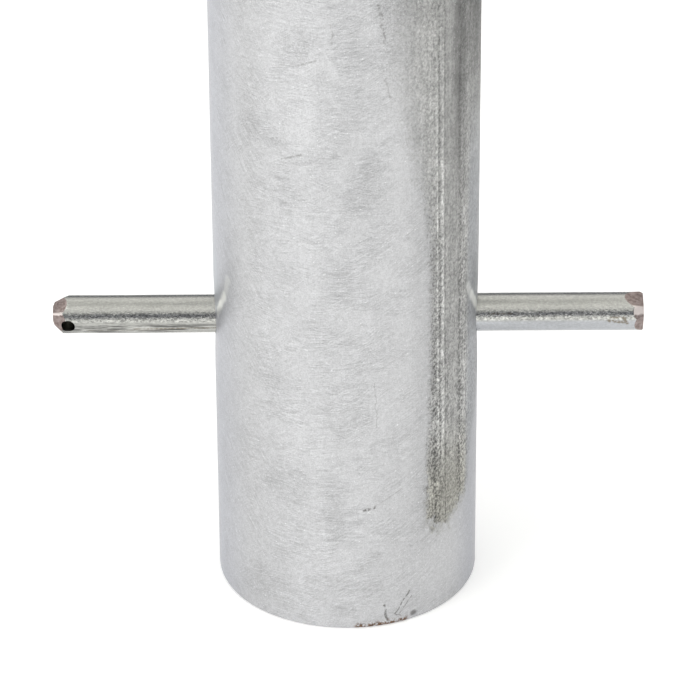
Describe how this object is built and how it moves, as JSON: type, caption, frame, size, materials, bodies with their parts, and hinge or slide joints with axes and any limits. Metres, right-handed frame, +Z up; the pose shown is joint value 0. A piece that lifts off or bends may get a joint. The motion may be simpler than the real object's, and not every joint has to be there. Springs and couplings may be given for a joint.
{
  "type": "retractable bollard",
  "caption": "Key-locked steel post that slides up out of a galvanised ground tube, with a loose anchor rod across its foot and a flush round head with a folding handle.",
  "frame": {"origin": "centre of the ground tube's open lower end, where the object stands on the bottom of its pit", "axes": "+Z up along the tube and the post's travel, X along the anchor rod, -Y towards the front of the folding handle"},
  "size_m": [0.21, 0.21, 0.854],
  "materials": {
    "galvanised_steel": "hot-dip galvanised, matte, cloudy, with zinc runs",
    "bright_zinc": "bright zinc plating, satin",
    "stainless_steel": "plain stainless, satin",
    "cast_aluminium": "cast and machined, satin",
    "brass": "turned",
    "black_nylon": "turned nylon, satin",
    "black_rubber": "matte",
    "red_reflective_film": "retroreflective film, gloss"
  },
  "bodies": {
    "ground_casing": {"ground_tube": "galvanised_steel", "frame_plate": "galvanised_steel", "frame_ring": "galvanised_steel", "tube_weld": "galvanised_steel", "ring_weld": "galvanised_steel", "guide_bush": "black_nylon", "wiper_seal": "black_rubber", "retainer_ring": "stainless_steel", "retainer_screw_1": "stainless_steel", "retainer_screw_2": "stainless_steel", "retainer_screw_3": "stainless_steel", "retainer_screw_4": "stainless_steel", "lock_ring": "bright_zinc", "ring_screw_1": "stainless_steel", "ring_screw_2": "stainless_steel", "ring_screw_3": "stainless_steel", "guide_rail": "galvanised_steel", "rail_screw_1": "stainless_steel", "rail_screw_2": "stainless_steel", "rail_screw_3": "stainless_steel"},
    "anchor_rod": {"anchor_rod": "bright_zinc"},
    "post": {"post_tube": "galvanised_steel", "reflective_band_upper": "red_reflective_film", "reflective_band_lower": "red_reflective_film", "guide_shoe": "black_nylon", "shoe_screw_1": "stainless_steel", "shoe_screw_2": "stainless_steel", "shoe_screw_3": "stainless_steel", "lock_housing": "bright_zinc", "housing_screw_1": "stainless_steel", "housing_screw_2": "stainless_steel", "lock_cover": "bright_zinc", "cover_screw_1": "stainless_steel", "cover_screw_2": "stainless_steel", "spindle_bush": "brass", "spindle_guide": "black_nylon", "head_cap": "cast_aluminium", "cap_gasket": "black_rubber", "cap_screw_1": "stainless_steel", "cap_screw_2": "stainless_steel", "cap_screw_3": "stainless_steel", "lock_barrel": "stainless_steel", "barrel_nut": "brass", "flap_pin": "stainless_steel"},
    "lock_spindle": {"lock_spindle": "bright_zinc", "scroll_disc": "bright_zinc", "disc_pin": "stainless_steel", "key_plug": "stainless_steel", "coupling_sleeve": "bright_zinc", "coupling_pin_upper": "stainless_steel", "coupling_pin_lower": "stainless_steel"},
    "lock_bolt_right": {"lock_bolt_right": "bright_zinc", "bolt_pin_right": "stainless_steel"},
    "lock_bolt_left": {"lock_bolt_left": "bright_zinc", "bolt_pin_left": "stainless_steel"},
    "lift_handle": {"lift_handle": "stainless_steel"},
    "dust_flap": {"dust_flap": "stainless_steel"}
  },
  "joints": [
    {"name": "post_lift", "type": "slide", "parent": "ground_casing", "child": "post", "axis": [0, 0, 1], "range_m": [0, 0.6]},
    {"name": "anchor_rod_slide", "type": "slide", "parent": "ground_casing", "child": "anchor_rod", "axis": [1, 0, 0], "range_m": [-0.05, 0.05]},
    {"name": "key_turn", "type": "hinge", "parent": "post", "child": "lock_spindle", "pos_m": [0, 0, 0.854], "axis": [0, 0, 1], "range_deg": [0, 90]},
    {"name": "bolt_right_slide", "type": "slide", "parent": "post", "child": "lock_bolt_right", "axis": [1, 0, 0], "range_m": [0, 0.01]},
    {"name": "bolt_left_slide", "type": "slide", "parent": "post", "child": "lock_bolt_left", "axis": [-1, 0, 0], "range_m": [0, 0.01]},
    {"name": "handle_fold", "type": "hinge", "parent": "post", "child": "lift_handle", "pos_m": [0, 0.018, 0.8497], "axis": [-1, 0, 0], "range_deg": [0, 90]},
    {"name": "flap_hinge", "type": "hinge", "parent": "post", "child": "dust_flap", "pos_m": [0, 0.0195, 0.8514], "axis": [-1, 0, 0], "range_deg": [0, 110]}
  ],
  "couplings": [
    {"joint": "bolt_right_slide", "follows": "key_turn", "m_per_rad": 0.006366},
    {"joint": "bolt_left_slide", "follows": "key_turn", "m_per_rad": 0.006366}
  ]
}
